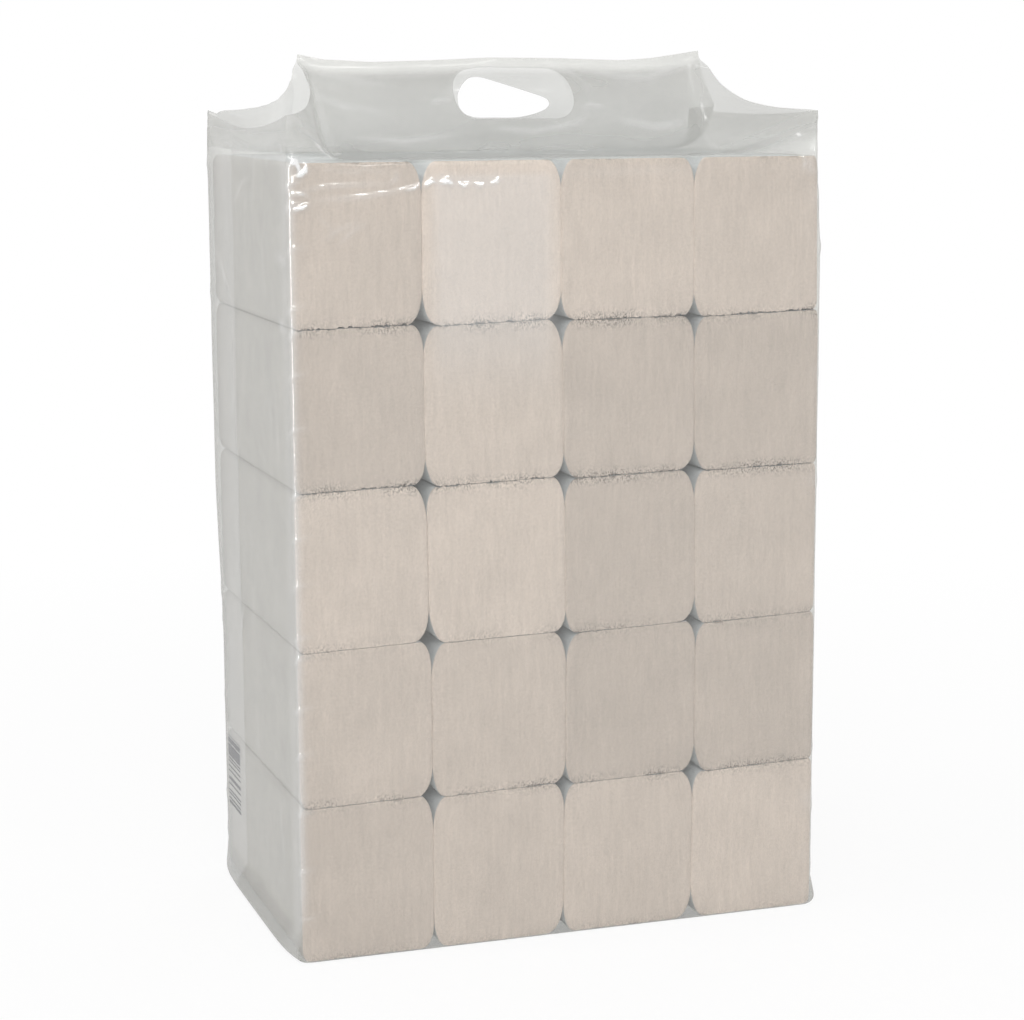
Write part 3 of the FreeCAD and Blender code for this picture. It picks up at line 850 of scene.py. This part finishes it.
def film_gloss_and_painted_highlights(s, t):
    """How much glossier the film is than elsewhere: along its creases most,
    by the front left edge and behind the side crease. As the film mirrors
    plain white, this paints light too: white painted glints on the proudest
    creases, a painted highlight down the front left edge, lighter painted
    bands beside it and behind the side crease, and a painted reflection over
    the second bundle of the top row."""
    ridges = film_ridges(s, t)
    gloss_and_painted_highlights = 0.13 * np.clip(ridges, 0.0, 1.0)
    tube = t < SHOULDER + 12
    # painted glints: the proudest creases of the tube turn white at their crests
    gloss_and_painted_highlights += 0.65 * smooth_step(0.95, 1.5, ridges) * tube
    # a painted highlight down the pack's front left edge
    gloss_and_painted_highlights += 0.22 * hump(s, FRONT_LEFT, 3.6) * smooth_step(20, 60, t) * (t < SHOULDER)
    # lighter painted bands beside that edge and behind the side crease
    beside = hump(s, FRONT_LEFT - 12, 13) * (s < FRONT_LEFT)
    behind = smooth_step(50, 54, LEFT_MIDDLE - s) * (LEFT_MIDDLE - s < HALF_DEPTH)
    gloss_and_painted_highlights += (0.08 * beside + 0.10 * behind) * tube
    gloss_and_painted_highlights -= 0.02 * smooth_step(SHOULDER + 8, SHOULDER + 20, t)
    # a painted reflection: more gloss over the second bundle of the top row
    x = s - FRONT_MIDDLE
    patch = smooth_step(-104, -90, x) * (1.0 - smooth_step(-16, 0, x))
    gloss_and_painted_highlights += 0.13 * patch * smooth_step(390, 480, t) * (1.0 - smooth_step(562, 572, t))
    # almost no gloss along the pack's upper front edge, so the lamps leave no highlight there
    in_front = (s > FRONT_LEFT + 6) & (s < FRONT_RIGHT - 6)
    return gloss_and_painted_highlights - 0.03 * hump(t, SHOULDER, 4) * in_front


# The seam's height above a straight line, from its left to its right and over
# the shoulders beside it: it dips between the hand hole and its ends.
SEAM_X = (-178, -168, -157, -140, -106, -60, -13, 43, 92, 118, 138, 157, 164, 174, 186, 198)
SEAM_RISE = (0, 0.3, 1.6, -2.0, -4.0, -2.8, -0.8, -1.4, -3.0, -1.4, 1.4, 4.2, -1.0, -4.5, -4.0, 0)


def seam_sag(s, t):
    """How far up or down the head lies for its seam's dips."""
    x = np.where(s > LEFT_MIDDLE, s - FRONT_MIDDLE, BACK_MIDDLE - s)
    sag = np.interp(x, SEAM_X, SEAM_RISE)
    panels = (np.abs(x) < HALF_WIDTH) & (t > SHOULDER)
    return np.where(panels, sag * smooth_step(SHOULDER + 70, PATTERN_TOP, t), 0.0)


# Where the front head panel turns out to the left ear: how far along the
# panel, and at which x.
TURN_ALONG = (72, 101, 124, 148, 167)
TURN_X = (-151, -148.5, -149, -153, -158)


def film_cloud(s, t):
    """How much hazier the film is than elsewhere: in the head, where it is
    wrinkled, by the back left edge and in the base's tucks."""
    in_front = (s > FRONT_LEFT) & (s < FRONT_RIGHT)
    along = t - SHOULDER
    over_hole = hump(s, BACK_MIDDLE, 55) * smooth_step(80, 100, along)
    head = smooth_step(15, 60, along)
    right_shoulder = smooth_step(140, 165, s - FRONT_MIDDLE)
    low_down = hump(along, 76, 14)
    thick = np.where(in_front, 0.24 + 0.05 * right_shoulder - 0.07 * low_down,
                     0.15 + 0.12 * over_hole)
    thick = thick * (1.0 - 0.9 * smooth_step(PATTERN_TOP - 14, PATTERN_TOP - 6, t))
    cloud = head * (thick + 0.03 * noise_field(s, t, 90, 22, 8))
    # clearer where the front panel turns to the left ear
    turn = np.interp(along, TURN_ALONG, TURN_X)
    turning = in_front * smooth_step(55, 75, along) * (1.0 - smooth_step(150, 160, along))
    cloud -= 0.13 * turning * hump(s - FRONT_MIDDLE, turn, 5)
    # the doubled film by the back left edge and in the base's tucks
    cloud += 0.24 * hump(s, BACK_LEFT, 16) * (1.0 - head)
    beside = (np.abs(s - LEFT_MIDDLE) < HALF_DEPTH) | (s < BACK_RIGHT) | (s > FRONT_RIGHT)
    cloud += 0.22 * beside * (1.0 - smooth_step(12, 24, t))
    return cloud + 0.012 * noise_field(s, t, 40, 40, 9)


# -------------------------------------------------------------- materials


def new_material(name):
    """A material with an empty node tree."""
    material = bpy.data.materials.new(name)
    material.use_nodes = True
    tree = material.node_tree
    tree.nodes.clear()
    return material, tree


def add(tree, kind, sockets=None, **settings):
    """Adds a shader node, with its settings and its sockets' values or links,
    and gives back its outputs."""
    node = tree.nodes.new("ShaderNode" + kind)
    for name, value in settings.items():
        setattr(node, name, value)
    for name, value in (sockets or {}).items():
        socket = node.inputs[name]
        if isinstance(value, bpy.types.NodeSocket):
            tree.links.new(value, socket)
        else:
            socket.default_value = value
    return node.outputs


def attribute(tree, name, output="Fac"):
    """What a mesh's attribute of that name holds."""
    return add(tree, "Attribute", attribute_name=name)[output]


def math_node(tree, operation, first, second=0.5):
    """One step of arithmetic on one or two values."""
    return add(tree, "Math", {0: first, 1: second}, operation=operation)[0]


def multiply(tree, first, *others):
    """The product of several values."""
    product = first
    for other in others:
        product = math_node(tree, "MULTIPLY", product, other)
    return product


def mixed(tree, share, first, second):
    """Two shaders mixed, with that share of the second."""
    return add(tree, "MixShader", {0: share, 1: first, 2: second})[0]


def diffuse(tree, colour):
    """A matt shader of one colour."""
    return add(tree, "BsdfDiffuse", {"Color": (*colour, 1)})[0]


def spread(tree, value, low, high, to_low, to_high):
    """Maps low to high onto to_low to to_high, held at both ends."""
    return add(tree, "MapRange", {"Value": value, "From Min": low, "From Max": high,
                                  "To Min": to_low, "To Max": to_high})[0]


def within(tree, value, low, high):
    """1 where value is between low and high."""
    above = math_node(tree, "GREATER_THAN", value, low)
    return multiply(tree, above, math_node(tree, "LESS_THAN", value, high))


def towel_paper():
    """Uncoated recycled tissue, seen on its folds, its faces and its cut ends."""
    material, tree = new_material("towel_paper")
    place = add(tree, "TexCoord")["Object"]
    tint = attribute(tree, "tint", "Color")
    cut, fold, fray = (attribute(tree, name) for name in ("cut", "fold", "fray"))

    def grain(scale, detail, roughness):
        """Uneven light and dark, that many waves to the metre on each axis."""
        scaled = add(tree, "Mapping", {"Vector": place, "Scale": scale})[0]
        return add(tree, "TexNoise", {
            "Vector": scaled, "Scale": 1.0, "Detail": detail, "Roughness": roughness})["Fac"]

    fibres = grain((520.0, 520.0, 520.0), 4.0, 0.8)
    sheets = grain((1100.0, 70.0, 110.0), 3.0, 0.6)
    groups = grain((230.0, 40.0, 24.0), 3.0, 0.6)
    clouds = grain((26.0, 26.0, 26.0), 4.0, 0.6)
    # specks along the folds: the dark ones paint shade, the others are pale
    speck_noise = grain((900.0, 500.0, 560.0), 2.0, 0.6)
    gaps = grain((95.0, 30.0, 60.0), 4.0, 0.75)
    # clusters in which the painted shade of the specks and dashes gathers
    shade_clusters = grain((24.0, 10.0, 15.0), 2.0, 0.5)

    shade = spread(tree, fibres, 0.3, 0.7, 0.88, 1.11)
    lines = spread(tree, sheets, 0.3, 0.7, 0.95, 1.045)
    bands = spread(tree, groups, 0.3, 0.7, 0.95, 1.05)
    cloudy = spread(tree, clouds, 0.3, 0.7, 0.955, 1.045)
    level = multiply(tree, shade, lines, bands, cloudy)
    # painted shade where the folds of two bundles meet: dark specks, and dark
    # dashes for the shadows in their gaps, with pale specks among them; and, as
    # painted light, a pale line where a neat row of folds catches the light
    edge = math_node(tree, "ABSOLUTE", fold)
    frayed = math_node(tree, "MINIMUM", fray, 1.0)
    near = math_node(tree, "POWER", spread(tree, edge, 0.84, 0.985, 0.0, 1.0), 1.4)
    patches = spread(tree, shade_clusters, 0.42, 0.58, 0.2, 1.0)
    painted_speck_shade = multiply(tree, spread(tree, speck_noise, 0.50, 0.59, 0.0, 0.75), near, frayed, patches, cut)
    fuzz = multiply(tree, spread(tree, speck_noise, 0.46, 0.38, 0.0, 0.20), near, frayed, cut)
    rim = spread(tree, edge, 0.972, 0.992, 0.0, 1.0)
    strength = multiply(tree, spread(tree, frayed, 0.0, 1.0, 0.3, 0.65), patches)
    painted_gap_shadow = multiply(tree, spread(tree, gaps, 0.53, 0.58, 0.0, 1.0), rim, strength, cut)
    neat_rim = multiply(tree, math_node(tree, "SUBTRACT", 1.0, frayed), rim)
    neat = spread(tree, neat_rim, 0.0, 1.0, 1.0, 1.10)
    unshaded_paper = math_node(tree, "SUBTRACT", 1.0, math_node(tree, "MAXIMUM", painted_speck_shade, painted_gap_shadow))
    level = multiply(tree, level, unshaded_paper, neat, math_node(tree, "ADD", fuzz, 1.0))
    colour = add(tree, "VectorMath", {0: tint, "Scale": level}, operation="SCALE")[0]

    height = math_node(tree, "ADD", multiply(tree, sheets, cut), fibres)
    bump = add(tree, "Bump", {"Height": height, "Strength": 0.6, "Distance": 0.0005})[0]
    shader = add(tree, "BsdfPrincipled", {
        "Base Color": colour, "Roughness": 0.95, "Specular IOR Level": 0.15,
        "Sheen Weight": 0.15, "Sheen Roughness": 0.6, "Normal": bump})[0]
    add(tree, "OutputMaterial", {"Surface": shader})
    return material


WHITE = (1, 1, 1, 1)
FILM_TINT = (0.985, 0.985, 0.978)       # of what is seen through the film
FILM_MILK = (0.61, 0.61, 0.592)         # of its haze
HAZE, GRAZING_HAZE = 0.085, 0.30        # face on, and how much more edge on
GLOSS, GRAZING_GLOSS = 0.035, 0.32
INK = (0.10, 0.10, 0.11)
INK_COVER = 0.62
BAR_PITCH = 1.35                        # of the plain printed bars
BARS_ROUND = (LEFT_MIDDLE - 114.0, LEFT_MIDDLE - 72.0)
BARS_UP = (57.0, 114.0)


def clear_film():
    """Polyethylene film: clear and a little hazy, more so seen along its
    face, with a soft gloss that the mesh raises in places to paint highlights,
    and a small printed block of plain bars."""
    material, tree = new_material("clear_film")
    place = add(tree, "TexCoord")["Object"]
    cloud, gloss_and_painted_highlights, across, up = (
        attribute(tree, name) for name in ("cloud", "gloss_and_painted_highlights", "round_tube", "up_tube"))

    ripple = add(tree, "TexNoise", {
        "Vector": place, "Scale": 60.0, "Detail": 3.0, "Roughness": 0.55})["Fac"]
    bump = add(tree, "Bump", {"Height": ripple, "Strength": 0.35, "Distance": 0.0006})[0]
    facing = add(tree, "LayerWeight", {"Blend": 0.5})["Facing"]
    grazing = multiply(tree, math_node(tree, "POWER", facing, 2.0), GRAZING_HAZE)
    haze = math_node(tree, "ADD", grazing, math_node(tree, "ADD", cloud, HAZE))
    shininess = multiply(tree, math_node(tree, "POWER", facing, 5.0), GRAZING_GLOSS)
    # the gloss, with the painted highlights that the mesh adds to it
    gloss = math_node(tree, "ADD", shininess, math_node(tree, "ADD", gloss_and_painted_highlights, GLOSS))
    clear = add(tree, "BsdfTransparent", {"Color": (*FILM_TINT, 1)})[0]
    glow = add(tree, "BsdfTranslucent", {"Color": (*FILM_MILK, 1)})[0]
    veil = mixed(tree, 0.45, diffuse(tree, FILM_MILK), glow)
    body = mixed(tree, haze, clear, veil)

    # plain bars of ink, low down at the back of the left side
    bar = math_node(tree, "FLOOR", math_node(tree, "DIVIDE", up, BAR_PITCH))
    chance = add(tree, "TexWhiteNoise", {"W": bar}, noise_dimensions="1D")[0]
    bars = math_node(tree, "GREATER_THAN", chance, 0.42)
    square = multiply(tree, within(tree, across, *BARS_ROUND), within(tree, up, *BARS_UP))
    body = mixed(tree, multiply(tree, bars, square, INK_COVER), body, diffuse(tree, INK))

    shine = add(tree, "BsdfAnisotropic", {
        "Color": WHITE, "Roughness": 0.18, "Normal": bump})[0]
    add(tree, "OutputMaterial", {"Surface": mixed(tree, gloss, body, shine)})
    return material


# ----------------------------------------------------------------- pieces

paper = towel_paper()
film_finish = clear_film()

block = paper_block()
for row in range(1, ROWS + 1):
    for column in range(1, COLUMNS + 1):
        bundle = block.copy()
        bundle.data = block.data.copy()
        bundle.name = f"towels_r{row}c{column}"
        bpy.context.collection.objects.link(bundle)
        shape_bundle(bundle, row, column)
        bundle.data.materials.append(paper)
        bundle.data.shade_smooth()
        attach(bundle, "root")
        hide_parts(f"bundle_r{row}c{column}")
bpy.data.objects.remove(block)

bag = film_bag()
bag.data.materials.append(film_finish)
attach(bag, "root")
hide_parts("carry_bag")

# -------------------------------------------------- floor, light and camera
# Places and sizes from here on are metres, and turns are radians.


def background_rays(tree):
    """1 for the rays that should find a plain white background."""
    path = add(tree, "LightPath")
    seen = math_node(tree, "MAXIMUM", path["Is Camera Ray"], path["Is Transmission Ray"])
    return math_node(tree, "MAXIMUM", seen, path["Is Glossy Ray"])


FLOOR_SIZE = 14
FLOOR_DROP = 0.0002         # the floor lies this far under the pack
FLOOR_GREY = (0.94, 0.94, 0.94)
AMBIENT = 0.62


def studio_floor():
    """A pale floor that fades to plain white."""
    bpy.ops.mesh.primitive_plane_add(size=FLOOR_SIZE, location=(0, 0, -FLOOR_DROP))
    floor = bpy.context.object
    floor.name = "studio_floor"
    material, tree = new_material("studio_floor")
    seen = background_rays(tree)
    white = add(tree, "Emission", {"Color": WHITE, "Strength": 1.0})[0]
    # plain white away from the pack, with its soft shadow kept around it
    place = add(tree, "TexCoord")["Object"]
    away = add(tree, "VectorMath", {0: place}, operation="LENGTH")["Value"]
    part = multiply(tree, seen, spread(tree, away, 0.35, 1.5, 0.88, 1.0))
    surface = mixed(tree, part, diffuse(tree, FLOOR_GREY), white)
    add(tree, "OutputMaterial", {"Surface": surface})
    floor.data.materials.append(material)


def studio_world():
    """Soft light from all round, seen as plain white."""
    world = bpy.data.worlds.new("studio")
    bpy.context.scene.world = world
    world.use_nodes = True
    tree = world.node_tree
    tree.nodes.clear()
    seen = background_rays(tree)
    ambient, white = (add(tree, "Background", {"Color": WHITE, "Strength": strength})[0]
                      for strength in (AMBIENT, 1.0))
    add(tree, "OutputWorld", {"Surface": mixed(tree, seen, ambient, white)})


# The lamps: name, place, aim, size and watts.
SOFT_BOXES = (
    ("key", (-0.9, -2.9, 2.0), (0, 0, 0.35), (2.0, 2.0), 42),
    ("glint_front", (0.75, -2.95, 1.7), (-0.1, -0.1, 0.6), (0.6, 0.2), 7),
    ("glint_left", (-1.25, 0.0, 1.76), (-0.2, -0.13, 0.56), (0.2, 0.2), 4),
    ("edge_light", (-2.3, -0.85, 0.35), (-0.2, -0.12, 0.3), (0.1, 1.7), 7),
    ("back_fill", (1.8, 2.2, 1.5), (0, 0, 0.3), (1.6, 1.6), 12),
)


def soft_box(name, place, aim, size, power):
    """An oblong lamp that faces its aim."""
    data = bpy.data.lights.new(name, "AREA")
    data.shape = "RECTANGLE"
    data.size, data.size_y = size
    data.energy = power
    lamp = bpy.data.objects.new(name, data)
    lamp.location = place
    direction = Vector(aim) - Vector(place)
    lamp.rotation_euler = direction.to_track_quat("-Z", "Y").to_euler()
    bpy.context.collection.objects.link(lamp)


SENSOR_WIDTH, LENS = 36.0, 88.03
CAMERA_PLACE = (-0.61357, -1.82137, 0.63173)
YAW, PITCH, ROLL = -0.32653, -0.16911, -0.00469


def studio_camera():
    """The camera, in front of the pack and a little to its left."""
    data = bpy.data.cameras.new("camera")
    data.sensor_width = SENSOR_WIDTH
    data.lens = LENS
    camera = bpy.data.objects.new("camera", data)
    turned = (Matrix.Rotation(YAW, 4, "Z") @ Matrix.Rotation(math.pi / 2 + PITCH, 4, "X")
              @ Matrix.Rotation(ROLL, 4, "Z"))
    camera.matrix_world = Matrix.Translation(CAMERA_PLACE) @ turned
    bpy.context.collection.objects.link(camera)
    bpy.context.scene.camera = camera


studio_floor()
studio_world()
for box in SOFT_BOXES:
    soft_box(*box)
studio_camera()
bpy.context.scene.view_settings.view_transform = "Standard"
